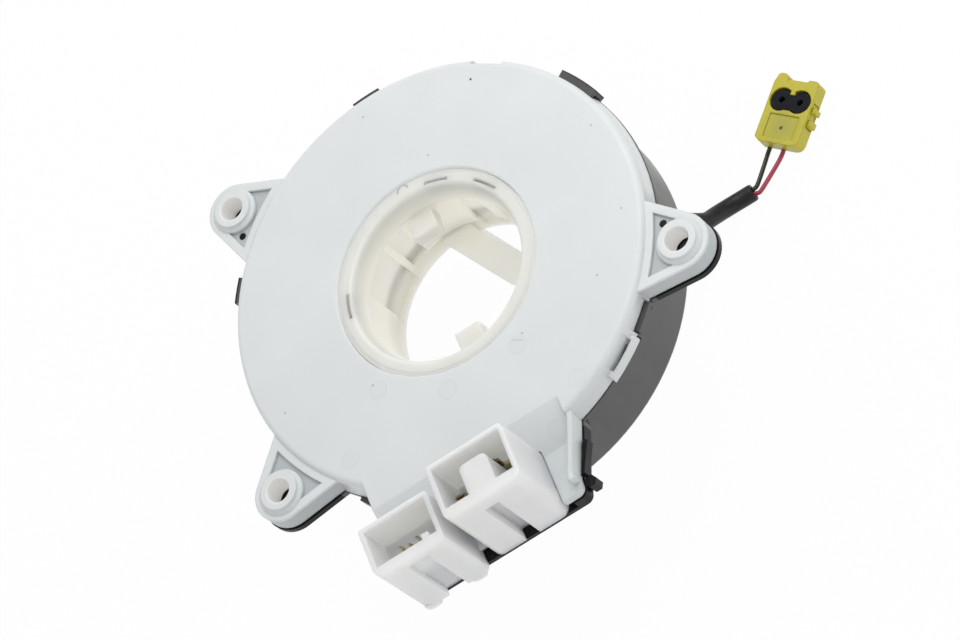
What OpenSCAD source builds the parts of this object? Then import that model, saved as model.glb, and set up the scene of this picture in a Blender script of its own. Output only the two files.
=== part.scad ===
// Steering clock spring: the wound cable unit between a steering column and its wheel.
// It turns about Z. The column side is up, and z = 0 is the plane of the ear bosses.
// The wheel side, with the tongue and the front socket, points down.

/* [White cover] */
// Outer radius of the cover
cover_r = 53.5; // [52.5:0.1:55]
// Depth of the cover's face below the ear bosses
face_drop = 0.5; // [0.3:0.1:0.9]
// Height of the cover's skirt
skirt_h = 6; // [5.6:0.2:7]
// Outward flare at the foot of the skirt
skirt_flare = 0.7; // [0.4:0.1:1]
// Wall of the skirt
skirt_wall = 1.2; // [1:0.1:1.4]
// Thickness of the cover's face
face_t = 1.8; // [1.5:0.1:2]
// Rounding of the rim
rim_round = 1.5; // [0.8:0.1:1.7]
// Depth of the recess round the two sockets
recess_drop = 4; // [3:0.2:4.2]

/* [Black case] */
// Step from the cover's radius in to the case's wall
case_inset = 0.9; // [0.7:0.1:1.2]
// Height of the case below its ledge
case_h = 20.2; // [18:0.2:24]
// Wall of the case
case_wall = 2; // [1.6:0.1:2.4]
// Rounding of the case's front edge
case_round = 1.5; // [0.8:0.1:1.5]
// Radius of the front opening that the rotor turns in
opening_r = 38; // [36:0.2:40]
// Thickness of the ledge under the skirt
ledge_t = 0.8; // [0.6:0.1:1.2]
// Thickness of the tray's floor under the sockets
tray_t = 1.3; // [1:0.1:1.6]
// Depth of the tray below the ledge's top
tray_drop = 2.2; // [2:0.1:2.6]

/* [Ears] */
// Distance of the two lower screw holes from the middle
lower_ear_x = 55; // [54:0.5:57]
// Distance of the lower screw holes towards the sockets
lower_ear_y = 28.5; // [26:0.5:30]
// Radius at which the upper screw hole lies
upper_ear_r = 62; // [61:0.5:64]
// Direction of the upper screw hole
upper_ear_a = 131; // [128:1:134]
// Radius of an ear's tip round its hole
ear_tip_r = 7; // [6.6:0.1:7.6]
// Half angle of an ear where it meets the rim
ear_spread = 12.4; // [11.6:0.2:13]
// Radius of the screw hole in the case's ear
case_hole_r = 2.6; // [2.2:0.1:2.8]
// Radius of the hole through the cover's boss
cover_hole_r = 3; // [2.9:0.1:3.3]
// Outer radius of the boss round the hole
boss_r = 4.8; // [4.6:0.1:5.2]
// Thickness of the cover's ear above its hollow
ear_plate_t = 1.8; // [1.5:0.1:2.2]
// Wall round the cover's ear
ear_wall = 1.5; // [1.4:0.1:1.8]
// Thickness of the case's ear
case_ear_t = 1.6; // [1.4:0.1:2]
// Depth of the pocket in the cover's ear
ear_pocket = 0.8; // [0.4:0.1:1]
// Radius of the pin that holds cover and case together
stake_r = 0.8; // [0.6:0.1:1]

/* [Column sockets] */
// Width of the small-pin socket
a_w = 18.4; // [17.6:0.2:18.8]
// Depth of the small-pin socket's block, away from the disc
a_d = 13.6; // [13:0.2:14]
// Height of the small-pin socket's mouth above the ear bosses
a_top = 12.5; // [11:0.5:14]
// Width of the power socket
b_w = 20.2; // [19.6:0.2:20.4]
// Depth of the power socket's block, away from the disc
b_d = 14.7; // [14:0.1:15]
// Height of the power socket's mouth above the ear bosses
b_top = 15.5; // [14:0.5:17]
// Wall of both sockets
socket_wall = 1.2; // [1:0.1:1.4]
// Outer wall of both sockets, which holds the latch channels
latch_wall = 2.9; // [2.7:0.1:3.1]
// Depth of the latch channel of the small-pin socket
latch_a_depth = 1.9; // [1.6:0.1:2]
// Depth of the latch channel of the power socket
latch_b_depth = 3; // [2.6:0.1:3.2]
// Level of the sockets' floors above the ear bosses
socket_floor = 3; // [2:0.5:4]
// Side of a small pin
pin_w = 0.64; // [0.5:0.02:0.8]
// Spacing of the small pins
pin_pitch = 2.2; // [2:0.1:2.3]

/* [Rear sleeve] */
// Inner radius of the sleeve's wall
sleeve_in_r = 22.6; // [22:0.1:23]
// Wall of the sleeve
sleeve_wall = 1.4; // [1.2:0.1:1.6]
// Inner radius of the lip at the sleeve's mouth
lip_in_r = 20.7; // [20:0.1:21.4]
// Outer radius of the ring that shows in the cover's bore
ring_r = 25.8; // [25.6:0.1:26.4]
// Depth of the ring below the cover's face
ring_drop = 0.3; // [0.2:0.1:0.5]
// Width of the collar that holds the sleeve under the cover
collar_w = 2.2; // [1.8:0.1:2.6]
// Thickness of the collar
collar_t = 1.8; // [1.4:0.1:2]
// Distance of each drive key's face from the middle
key_reach = 14.4; // [13.6:0.2:16]
// Width of the drive keys
key_w = 6.5; // [5.5:0.5:8]
// Height of the drive keys
key_h = 4; // [3:0.5:5]

/* [Front rotor] */
// Wall of the spool that the cable winds on
spool_wall = 1.3; // [1.1:0.1:1.5]
// Thickness of the rotor's disc
disc_t = 1.8; // [1.5:0.1:2]
// Reach of the rotor's hub in front of the case
hub_proud = 2; // [1.5:0.1:2.5]
// Distance from the case's front to what the part rests on
front_reach = 28; // [24:0.5:30]
// Width of the tongue
tongue_w = 8; // [7:0.5:9]
// Thickness of the tongue
tongue_t = 2; // [1.6:0.1:2.2]
// Lean of the tongue
tongue_lean = 5; // [0:1:8]
// Radius of the drive post
post_r = 4; // [3.4:0.2:4.4]
// Length of the front socket, round the axis
front_socket_l = 20; // [17:0.5:21]
// Width of the front socket, away from the axis
front_socket_w = 11; // [10:0.5:12]

/* [Flat cable] */
// Turns of the flat cable
cable_turns = 6; // [4:1:8]
// Thickness of the flat cable
cable_t = 0.36; // [0.3:0.02:0.5]

/* [Lead and plug] */
// Diameter of the lead's sleeve
lead_d = 4.3; // [4:0.1:4.6]
// Diameter of each wire
wire_d = 1.1; // [0.9:0.1:1.2]
// Length of the plug
plug_l = 17; // [16:0.5:19]
// Width of the plug
plug_w = 12; // [11.5:0.5:13]
// Height of the plug
plug_h = 5; // [4.8:0.1:6]

/* [Hidden] */
$fn = 128;

// Clearances: between pieces that face each other, between turning pieces, round a pin,
// and between the bracket and the sockets that it holds
clear = 0.3;
run_gap = 0.4;
pin_gap = 0.12;
seat_gap = 0.12;
// Reach of a cutting body past the face that it cuts
over = 1;

// Levels, from the column side down
z_face = -face_drop;
z_under = z_face - face_t;
z_foot = z_face - skirt_h;
z_case = z_foot - clear;
z_tray = z_case - tray_drop;
z_front = z_case - case_h;
z_floor = z_front + case_wall;
z_rest = z_front - front_reach;
z_lip = z_under - 0.7;
z_ear = z_foot + 0.1;
z_ear_top = -1.5;
z_pocket = z_ear_top - ear_pocket;
z_ring = z_face - ring_drop;
z_collar = z_under - clear;
z_spool = z_collar - collar_t;
z_disc = z_floor + clear;
z_disc_top = z_disc + disc_t;
z_hub = z_front - hub_proud;

// Radii
foot_r = cover_r + skirt_flare;
ledge_r = foot_r + 0.1;
case_r = cover_r - case_inset;
case_in_r = case_r - case_wall;
case_lip_r = cover_r - skirt_wall - clear;
hub_r = opening_r - run_gap;
disc_r = opening_r + 3.5;
cover_bore_r = ring_r + clear;
sleeve_out_r = sleeve_in_r + sleeve_wall;
spool_in_r = sleeve_out_r + clear;
spool_out_r = spool_in_r + spool_wall;
rotor_bore_r = sleeve_in_r + sleeve_wall / 2;
collar_r = ring_r + collar_w;

// Ears: radius and direction of each screw hole, and whether a stake stands beside it
EARS = [[norm([lower_ear_x, lower_ear_y]), atan2(-lower_ear_y, lower_ear_x), true],
    [norm([lower_ear_x, lower_ear_y]), atan2(-lower_ear_y, -lower_ear_x), false],
    [upper_ear_r, upper_ear_a, true]];
ear_root_r = cover_r - 0.5;
stake_at = [-4.8, 5.2];
stake_h = z_pocket - z_case;
ear_rim = 1.8;
ear_rib = 2.2;
boss_flare = 0.9;

// Clips of the case: first and last angle, thickness of the arm
CLIPS = [[86.2, 93.8, 1.1], [21.3, 33, 1.1], [146.4, 153.2, 1.3]];
clip_in_r = foot_r + clear;
clip_top = z_face - 2.8;
clip_nose_h = 1;
clip_bite = 0.5;

// Low hook in a notch of the skirt's foot: angles, level of its top, and length of its slits
HOOK = [-47.6, -40.2];
hook_top = z_foot + 0.6;
hook_slit = 4.4;

// Catch beside the hook, and the strap of the cover that it stands in
STRAP = [-60.6, -49.2];
strap_window = [-58.9, -50.3];
strap_r = foot_r + 1.2;
strap_rail = 0.9;
strap_top = z_face - 3.9;

// Flat notch in the rim: direction, width and distance from the middle
notch_a = 53.35;
notch_w = 8.5;
notch_at = cover_r - 1.3;

// Plan of the two sockets: near walls stand clear of the cover's rim
rim_y = -cover_r;
a_mid = -26.8;
a_near = rim_y - 3.9;
b_mid = -4.9;
b_near = rim_y - 1.1;
a_far = a_near - a_d;
b_far = b_near - b_d;
web_w = 1.4;

// Plan of the white bracket round the sockets
bracket_l = -35.5;
wing_edge = [[16.2, rim_y + 3.3], [16.2, rim_y + 1.5], [14.7, rim_y - 2.5], [11, rim_y - 11.5]];
wing_corner = 10.7;
wing_far = rim_y - 15.2;
bracket_root = [[-20, rim_y + 7.5], [bracket_l, rim_y + 15.1]];
recess_from = rim_y + 7;
recess_to = rim_y - 2.5;
bracket_wall = 1.4;
lip_cut = [-135, -70];
tray_far = rim_y - 15.5;
tray_lip = 0.4;

// Corner of the tray between the lower left ear and the bracket
tray_corner = [[-36, rim_y + 19.5], [-39.7, rim_y + 15.1], [-36.6, rim_y + 10.9],
    [bracket_l - 0.2, rim_y + 9.5]];

// Direction and plan of the outer clamp, which the busbars start from
clamp_a = -112;
clamp_l = 19;
clamp_near = case_in_r - 4;
clamp_face = case_in_r - 1.3;
bar_t = 0.6;
bar_w = 1;
bar_pitch = 2.4;
bar_out = 3.6;
bar_row = 0.9;

// Pins and tabs: places in plan, a tab's width and the extra width of its foot, and tip levels
A_PINS = [for (i = [0:3]) [a_mid - 3 + i * pin_pitch, a_near - 6.2 - 0.6 * (i % 2)]];
a_tip = a_top - 4.5;
B_TABS = [[b_mid - 7.3, b_near - 6.4, 2.8, 0], [b_mid + 2.9, b_near - 3.2, 2.4, 2.6]];
b_tip = b_top - 7;
tab_t = 0.8;
tab_foot = 1.6;

// Front socket: direction and middle radius
front_socket_a = -150;
front_socket_at = hub_r - 6.1;
front_pin_pitch = 2.6;
front_pin_row = 1.8;
front_pin_free = 8;
post_a = -18;
post_at = hub_r - 7;
lead_y = 2.4;
lead_from = hub_r + 0.9;
lead_z = -33.5;
clamp_top_z = z_hub;

// The lead's route, from its clamp down to the floor and along it
LEAD = [[lead_from, lead_y, lead_z], [40, 2.4, -33.5], [42.4, 2.4, -34.2], [44.8, 2.3, -36.1],
    [47, 2.1, -38.9], [49, 1.9, -42], [50.7, 2, -44.8], [52.2, 2.4, -47.1], [53.8, 3.6, -49],
    [55.5, 4.6, -50.5], [57.3, 5.3, -51.6], [59.2, 5.8, -52.4], [61.2, 6, -52.8],
    [64.4, 6, -52.85]];
WIRE_BLACK = [[64.55, 6.7, -52.85], [65.7, 7, -52.85], [67.4, 8.7, -52.9], [69.1, 10.7, -53.1],
    [70.5, 12.6, -53.5], [71.5, 13.95, -53.8], [72.35, 14.8, -53.8]];
WIRE_RED = [[64.55, 5.3, -52.85], [65.8, 5.1, -52.85], [68.2, 6.5, -52.9], [70.65, 8.2, -53.1],
    [72.9, 10, -53.5], [74.19, 11.26, -53.8], [75.04, 12.11, -53.8]];
plug_a = 45;
plug_mid = [80.6, 18.7];

// Insert of the plug: distance from the plug's middle, and its two round ends
insert_at = 2.7;
insert_half = 2.5;
insert_r = 2.75;
insert_waist = 4.6;

// Corners rounded by arcs: each point of an outline has its own radius
function unit(v) = v / norm(v);
function corner(a, p, b, r, n) = r <= 0 ? [p] :
    let (u = unit(a - p), w = unit(b - p), half = acos(u * w) / 2,
        mid = p + unit(u + w) * r / sin(half),
        s = p + u * r / tan(half) - mid, e = p + w * r / tan(half) - mid,
        from = atan2(s.y, s.x), turn = atan2(e.y, e.x) - from,
        sweep = turn > 180 ? turn - 360 : (turn < -180 ? turn + 360 : turn))
    [for (i = [0:n]) mid + r * [cos(from + sweep * i / n), sin(from + sweep * i / n)]];
function rounded(pts, radii, n = 5) = [for (i = [0:len(pts) - 1])
    each corner(pts[(i + len(pts) - 1) % len(pts)], pts[i], pts[(i + 1) % len(pts)], radii[i], n)];

// A piece of a ring in plan
module sector(r0, r1, a0, a1) {
    far = r1 * 1.5;
    mid = (a0 + a1) / 2;
    intersection() {
        difference() {
            circle(r = r1);
            circle(r = r0);
        }
        polygon([[0, 0], far * [cos(a0), sin(a0)], far * [cos(mid), sin(mid)],
            far * [cos(a1), sin(a1)]]);
    }
}

// The same, raised from z0 to z1
module ring_block(r0, r1, a0, a1, z0, z1) {
    translate([0, 0, z0]) linear_extrude(z1 - z0) sector(r0, r1, a0, a1);
}

module slab(z0, z1) {
    translate([0, 0, z0]) linear_extrude(z1 - z0) children();
}

module box(x0, x1, y0, y1, z0, z1) {
    translate([x0, y0, z0]) cube([x1 - x0, y1 - y0, z1 - z0]);
}

// A tube of round section swept along a list of points
function way(pts, i) = unit(pts[min(i + 1, len(pts) - 1)] - pts[max(i - 1, 0)]);
function sweep_ring(p, t, r, n) = let (side = unit(cross(t, [0, 0, 1])), up = cross(side, t))
    [for (k = [0:n - 1]) p + r * (cos(k * 360 / n) * side + sin(k * 360 / n) * up)];
module tube(pts, d, n = 8) {
    m = len(pts);
    polyhedron(
        points = [for (i = [0:m - 1]) each sweep_ring(pts[i], way(pts, i), d / 2, n)],
        faces = concat([[for (k = [0:n - 1]) k]],
            [for (i = [0:m - 2], k = [0:n - 1]) [i * n + k, (i + 1) * n + k,
                (i + 1) * n + (k + 1) % n, i * n + (k + 1) % n]],
            [[for (k = [n - 1:-1:0]) (m - 1) * n + k]]));
}

// Plan of an ear at radius c, drawn inside its outline by w: two straight edges and a round tip
module ear_plan(c, w) {
    root = ear_root_r * [cos(ear_spread), sin(ear_spread)];
    d = [c, 0] - root;
    b = atan2(d.y, d.x) + asin(ear_tip_r / norm(d));
    out = [cos(b + 90), sin(b + 90)];
    start = root - w * out;
    tip = [for (i = [-10:10]) [c, 0] + (ear_tip_r - w) * [cos(i * (b + 90) / 10),
        sin(i * (b + 90) / 10)]];
    polygon(concat([[start.x, -start.y]], tip, [start]));
}

// Plan of the white bracket, up to the two sockets
module bracket_plan() {
    gap = seat_gap;
    b_left = b_mid - b_w / 2 - gap;
    b_right = b_mid + b_w / 2 + gap;
    polygon(rounded(concat(bracket_root, [[bracket_l, a_near + gap],
            [b_left, a_near + gap], [b_left, b_near + gap], [b_right, b_near + gap],
            [b_right, wing_far], [wing_corner, wing_far]], [for (i = [3:-1:0]) wing_edge[i]],
            [[wing_edge[0].x, bracket_root[0].y]]),
        [0, 0, 1, 0, 0, 0, 0, 2, 0, 0, 0, 0, 0]));
}

// The hollow under it
module bracket_hollow() {
    w = bracket_wall;
    b_left = b_mid - b_w / 2 - seat_gap - w;
    b_right = b_mid + b_w / 2 + seat_gap + w;
    polygon(concat([[bracket_root[0].x + 2, bracket_root[0].y + 2],
        [bracket_l + w, bracket_root[1].y + 1.9], [bracket_l + w, a_near + seat_gap + w],
        [b_left, a_near + seat_gap + w], [b_left, b_near + seat_gap + w],
        [b_right, b_near + seat_gap + w], [b_right, wing_far + w], [wing_corner - 1.5, wing_far + w]],
        [for (i = [3:-1:0]) wing_edge[i] - [w, 0]],
        [[wing_edge[0].x + over, wing_edge[0].y], [wing_edge[0].x + over,
            bracket_root[0].y + 2]]));
}

// Side view of the recess: level face, slope, and floor, lowered by drop
module recess_profile(drop) {
    x0 = bracket_l - over;
    x1 = wing_edge[0].x + 2 * over;
    translate([x1, 0, 0]) rotate([90, 0, -90]) linear_extrude(x1 - x0)
        polygon([[-recess_from - 11.5, z_foot - over], [-recess_from - 11.5, z_face - drop],
            [-recess_from, z_face - drop],
            [-recess_to, z_face - recess_drop - drop], [-wing_far + over,
            z_face - recess_drop - drop], [-wing_far + over, z_foot - over]]);
}

module cover_shell() {
    r = rim_round;
    rotate_extrude() polygon(concat([[cover_bore_r, z_under], [cover_bore_r, z_face]],
        [for (i = [0:5]) [cover_r - r + r * sin(i * 18), z_face - r + r * cos(i * 18)]],
        [[cover_r, z_face - 3.2], [foot_r, z_foot], [cover_r - skirt_wall, z_foot],
            [cover_r - skirt_wall, z_under]]));
}

// Ear of the cover: a plate with a wall round its hollow, a shallow pocket and a flared boss
module cover_ear(c) {
    difference() {
        slab(z_ear, z_ear_top) ear_plan(c, 0);
        slab(z_ear - over, z_ear_top - ear_plate_t) ear_plan(c, ear_wall);
        slab(z_pocket, over) difference() {
            ear_plan(c, ear_rib);
            circle(r = cover_r + ear_rim);
            translate([c, 0]) circle(r = boss_r + boss_flare);
        }
    }
    translate([c, 0, 0]) rotate_extrude() polygon([[0, z_ear], [boss_r + boss_flare, z_ear],
        [boss_r + boss_flare, z_ear_top + 0.1], [boss_r, z_ear_top + boss_flare], [boss_r, 0],
        [0, 0]]);
}

module cover_bracket() {
    intersection() {
        slab(z_foot, z_face) bracket_plan();
        recess_profile(0);
    }
    intersection() {
        slab(z_foot, z_ear_top) difference() {
            bracket_plan();
            bracket_hollow();
        }
        union() {
            box(bracket_l - over, bracket_l + bracket_wall, a_near + seat_gap, rim_y + 10.5,
                z_foot, 0);
            box(wing_edge[3].x - bracket_wall - 2, wing_edge[0].x + over, wing_far + 2.2,
                rim_y + 3.5, z_foot, 0);
        }
    }
}

// Strap over the catch: a rail that stands off the skirt, with an end at each side
module cover_strap() intersection() {
    rotate_extrude() polygon([[cover_r - 0.3, z_foot], [strap_r, z_foot], [strap_r, z_foot + 1],
        [strap_r - 0.5, strap_top], [cover_r - 0.3, strap_top]]);
    slab(z_foot - over, over) sector(cover_r - 1, strap_r + 1, STRAP[0], STRAP[1]);
}

module rear_cover() color([0.83, 0.86, 0.88]) difference() {
    union() {
        difference() {
            union() {
                cover_shell();
                difference() {
                    for (e = EARS) rotate(e[1]) cover_ear(e[0]);
                    cylinder(r = cover_r - skirt_wall / 2, h = 100, center = true);
                }
            }
            box(bracket_l + bracket_wall, wing_edge[0].x - bracket_wall, rim_y - 6.5,
                recess_from, z_foot - over, over);
        }
        difference() {
            cover_bracket();
            intersection() {
                slab(z_foot - 2, z_under) bracket_hollow();
                recess_profile(face_t);
            }
        }
        cover_strap();
    }
    for (e = EARS) rotate(e[1]) translate([e[0], 0, z_foot - over])
        cylinder(r = cover_hole_r, h = 20);
    for (e = EARS) if (e[2]) rotate(e[1]) translate([e[0] + stake_at.x, stake_at.y, z_foot - over])
        cylinder(r = stake_r + pin_gap, h = 10);
    // Pockets for the clips' noses
    for (c = CLIPS) ring_block(cover_r - clip_bite - clear, foot_r + 3, c[0] - 0.4, c[1] + 0.4,
        clip_top - clip_nose_h - clear, clip_top + clear);
    // Notch of the skirt's foot for the hook, with the pocket of its nose
    ring_block(cover_r - 0.1, foot_r + 3, HOOK[0] - 0.5, HOOK[1] + 0.5, z_foot - over,
        z_face - 3.1);
    ring_block(cover_r - clip_bite - clear, foot_r + 3, HOOK[0] - 0.4, HOOK[1] + 0.4,
        z_foot - over, hook_top + clear);
    // Gap between the strap's rail and the skirt
    ring_block(cover_r - 0.1, strap_r - strap_rail, strap_window[0], strap_window[1],
        z_foot - over, over);
    // Notch in the rim
    rotate(notch_a) box(notch_at, foot_r + 3, -notch_w / 2, notch_w / 2, z_foot - over, over);
}

// Black tray under the sockets
function tray_plan() = rounded(concat(tray_corner, [[bracket_l - 0.2, tray_far],
    [wing_corner - 0.3, tray_far], [wing_edge[3].x + tray_lip, tray_far + 3]],
    [for (i = [3:-1:1]) wing_edge[i] + [tray_lip, 0]],
    [[wing_edge[0].x + tray_lip, wing_edge[0].y + 2.2]]), [0, 0, 0, 0, 1, 2, 1, 0, 0, 0, 0]);
module tray() {
    slab(z_tray - tray_t, z_tray) polygon(tray_plan());
    intersection() {
        slab(z_tray, z_case) polygon(tray_plan());
        union() {
            box(tray_corner[1].x - over, bracket_l + bracket_wall, a_near + clear, rim_y + 24,
                z_tray, z_case);
            difference() {
                box(7, 20, tray_far - over, rim_y + 24, z_tray, z_case);
                translate([-bracket_wall - 0.4, 0, z_tray - over]) linear_extrude(10)
                    polygon(concat([[-9, tray_far + 2.4], [wing_corner - 0.3, tray_far + 2.4]],
                        [for (i = [3:-1:0]) wing_edge[i]], [[-9, rim_y + 13.5]]));
            }
        }
    }
    // Clip wall on the tray's edge beside the wing, and its six-sided boss
    near = wing_edge[2];
    far = wing_edge[3];
    slab(z_case - 1.6, z_case + 1.2) polygon([near + [0.3, -0.8], near + [1.3, -1.3],
        far + [1.3, 0.8], far + [0.3, 0.4]]);
    translate([far.x + 1.5, far.y - 1.2, z_tray - tray_t]) cylinder(r = 1.5, $fn = 6,
        h = tray_t + tray_drop);
}

module clip(c) {
    out_r = clip_in_r + c[2];
    ring_block(case_r - 1, out_r, c[0], c[1], z_case - ledge_t, z_case);
    ring_block(clip_in_r, out_r, c[0], c[1], z_case - ledge_t, clip_top);
    ring_block(cover_r - clip_bite, out_r, c[0], c[1], clip_top - clip_nose_h, clip_top);
}

// Low hook: a lip on the ledge that reaches over the foot of the skirt
module hook() {
    ring_block(case_r - 1, ledge_r + 0.3, HOOK[0], HOOK[1], z_case - ledge_t, z_case);
    ring_block(cover_r + 0.1, ledge_r + 0.3, HOOK[0], HOOK[1], z_case - ledge_t, hook_top);
    ring_block(cover_r - clip_bite, ledge_r + 0.3, HOOK[0], HOOK[1], hook_top - 0.5, hook_top);
}

// Catch that stands in the cover's strap, with a sloping top
module catch() rotate((STRAP[0] + STRAP[1]) / 2) translate([cover_r + 0.15, 0, 0])
    rotate([90, 0, 90]) linear_extrude(0.5) polygon([[-3, z_case - ledge_t], [3, z_case - ledge_t],
        [3, strap_top - 0.2], [-3, z_foot + 0.3]]);

module case_shell() {
    r = case_round;
    rotate_extrude() polygon(concat([[opening_r, z_floor], [case_in_r, z_floor],
            [case_in_r, z_lip], [case_lip_r, z_lip], [case_lip_r, z_case], [ledge_r, z_case],
            [ledge_r, z_case - ledge_t], [case_r, z_case - ledge_t]],
        [for (i = [0:5]) [case_r - 0.3 - r + r * cos(i * 18), z_front + r - r * sin(i * 18)]],
        [[opening_r, z_front]]));
}

module front_case() color([0.08, 0.08, 0.09]) {
    difference() {
        union() {
            case_shell();
            difference() {
                union() {
                    for (e = EARS) rotate(e[1]) case_ear(e);
                    tray();
                }
                slab(z_front, over) circle(r = case_r - case_wall / 2);
            }
            for (c = CLIPS) clip(c);
            hook();
            catch();
        }
        for (e = EARS) rotate(e[1]) translate([e[0], 0, z_foot - 20])
            cylinder(r = case_hole_r, h = 30);
        // Way for the bracket and the busbars through the lip and the wall
        ring_block(case_in_r - over, case_lip_r + 0.1, lip_cut[0], lip_cut[1], z_case, over);
        rotate(clamp_a) box(case_in_r - over, case_r + 4, -clamp_l / 2, clamp_l / 2 + 1,
            z_tray, over);
        // Slits that let the hook bend
        for (a = [HOOK[0] - 1, HOOK[1] + 0.1]) ring_block(case_in_r - over, ledge_r + over,
            a, a + 0.9, z_case - hook_slit, z_case + 0.01);
    }
}

module case_ear(e) {
    slab(z_case - case_ear_t, z_case) ear_plan(e[0], -clear);
    if (e[2]) translate([e[0] + stake_at.x, stake_at.y, z_case]) cylinder(r = stake_r, h = stake_h);
}

// White block with both column sockets
module socket_shape(mid, w, near, d, bottom, top, round_l, round_r) {
    slab(bottom, top) polygon(rounded([[mid - w / 2, near], [mid - w / 2, near - d],
        [mid + w / 2, near - d], [mid + w / 2, near]], [0.8, round_l, round_r, 0.8]));
}

module latch_channel(x0, x1, far, depth, strip_z) {
    box(x0, x1, far - over, far + depth, z_tray - over, strip_z);
}

module socket_hollow(mid, w, near, d, depth, top) {
    x0 = mid - w / 2 + socket_wall;
    x1 = mid + w / 2 - socket_wall;
    y1 = near - socket_wall;
    box(x0, x1, near - d + latch_wall, y1, socket_floor, top + over);
    box(x0, x1, near - d + depth + socket_wall, y1, z_tray - over, socket_floor - 2);
}

module connector_block() color([0.86, 0.87, 0.86]) difference() {
    union() {
        difference() {
            union() {
                socket_shape(a_mid, a_w, a_near, a_d, z_tray, a_top, 3, 1.2);
                socket_shape(b_mid, b_w, b_near, b_d, z_tray, b_top, 2, 2.5);
                box(a_mid + a_w / 2 - 0.5, b_mid - b_w / 2 + 0.5, a_near - 9, a_near - 1,
                    z_tray + 1.2, z_tray + 1.2 + web_w);
            }
            socket_hollow(a_mid, a_w, a_near, a_d, latch_a_depth, a_top);
            socket_hollow(b_mid, b_w, b_near, b_d, latch_b_depth, b_top);
        }
        // Key rib of the small socket, and key block of the power socket
        box(a_mid + 4.2, a_mid + 6, a_far + 1, a_far + latch_wall + 1.3, socket_floor - 1, a_top);
        slab(socket_floor - 2, b_top) polygon(rounded([[b_mid - 2.8, b_far + 1],
            [b_mid + 4.4, b_far + 1], [b_mid + 4.4, b_near - 4.4], [b_mid - 2.8, b_near - 4.4]],
            [0, 0, 1.4, 1.4]));
        // Feet of the small socket's outer wall
        for (x = [a_mid - a_w / 2 + 1, a_mid + a_w / 2 - 5]) translate([0, a_far, 0])
            rotate([90, 0, 0]) translate([0, 0, -1.6]) linear_extrude(1.6)
                polygon(rounded([[x, z_tray + 1], [x, z_tray - 1.4], [x + 4, z_tray - 1.4],
                    [x + 4, z_tray + 1]], [0, 1.3, 1.3, 0]));
    }
    latch_channel(a_mid - 2, a_mid + 3.2, a_far, latch_a_depth, a_top - 2.1);
    latch_channel(b_mid - 2.2, b_mid + 1.4, b_far, latch_b_depth, b_top - 4.4);
    for (p = A_PINS) translate([p.x, p.y, 0]) cube([pin_w + 2 * pin_gap, pin_w + 2 * pin_gap,
        4 * a_top], center = true);
    for (p = B_TABS) translate([p.x, p.y, 0]) cube([p[2] + 2 * pin_gap, tab_t + 2 * pin_gap,
        4 * b_top], center = true);
    // Way for the busbars under the near walls
    box(a_mid - a_w / 2 + socket_wall, a_mid + a_w / 2 - socket_wall, a_near - 2 * socket_wall,
        a_near + over, z_tray - over, z_tray + 1);
    box(b_mid - b_w / 2 + socket_wall, b_mid + b_w / 2 - socket_wall, b_near - 2 * socket_wall,
        b_near + over, z_tray - over, z_tray + 1);
}

module post_tip(p, sx, sy, from, to) {
    translate([p.x, p.y, 0]) {
        box(-sx / 2, sx / 2, -sy / 2, sy / 2, from, to - 0.8);
        translate([0, 0, to - 0.8]) linear_extrude(0.8) square([sx * 0.6, sy * 0.6], center = true);
    }
}

module socket_a_pins() color([0.78, 0.68, 0.42])
    for (p = A_PINS) post_tip(p, pin_w, pin_w, z_tray + bar_t, a_tip);

module socket_b_terminals() color([0.72, 0.6, 0.36])
    for (p = B_TABS) {
        post_tip(p, p[2], tab_t, z_tray + bar_t, b_tip);
        if (p[3] > 0) translate([p.x, p.y, socket_floor + 0.1]) box(-p[2] / 2, p[2] / 2 + p[3],
            -tab_t / 2, tab_t / 2, 0, tab_foot);
    }

// Flat strips from the outer clamp to the pins
module connector_busbars() color([0.7, 0.58, 0.36]) {
    for (i = [0:len(A_PINS) - 1]) busbar((i - 2.5) * bar_pitch, A_PINS[i], a_near);
    for (i = [0, 1]) busbar((1.5 + 2 * i) * bar_pitch, B_TABS[i], b_near);
}

// One strip: out of the clamp, along to its pin's row, and under the socket's near wall
module busbar(across, pin, near) {
    turn = [[cos(clamp_a), -sin(clamp_a)], [sin(clamp_a), cos(clamp_a)]];
    way = [turn * [clamp_face, across], turn * [clamp_face + bar_out, across],
        [pin.x, near + bar_row], [pin.x, pin.y]];
    slab(z_tray, z_tray + bar_t) {
        for (i = [0:2]) bar(way[i], way[i + 1]);
        for (i = [1:3]) translate(way[i]) circle(d = bar_w, $fn = 32);
    }
}

module bar(p, q) {
    side = bar_w / 2 * unit([p.y - q.y, q.x - p.x]);
    polygon([p + side, q + side, q - side, p - side]);
}

module outer_cable_clamp() color([0.82, 0.8, 0.72]) rotate(clamp_a) difference() {
    box(clamp_near, clamp_face, -clamp_l / 2 + 0.4, clamp_l / 2 - 0.4, z_floor, z_tray + bar_t + 1);
    for (s = [-1, 1]) translate([clamp_near - 0.6, s * clamp_l / 3, z_floor - over])
        cylinder(r = 1, h = 40, $fn = 24);
}

// Flat cable: a spiral between the spool and the outer clamp
module flat_cable() color([0.85, 0.82, 0.72]) {
    r0 = collar_r + 0.7;
    r1 = clamp_near - 0.8;
    steps = 24;
    n = cable_turns * steps;
    z0 = z_disc_top + 0.35 + clear;
    line = [for (i = [0:n]) let (r = r0 + (r1 - r0) * i / n, a = clamp_a + i * 360 / steps)
        [r * cos(a), r * sin(a)]];
    back = [for (i = [n:-1:0]) let (r = r0 + (r1 - r0) * i / n + cable_t,
        a = clamp_a + i * 360 / steps) [r * cos(a), r * sin(a)]];
    slab(z0, z_spool + 0.8) polygon(concat(line, back));
}

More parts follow.
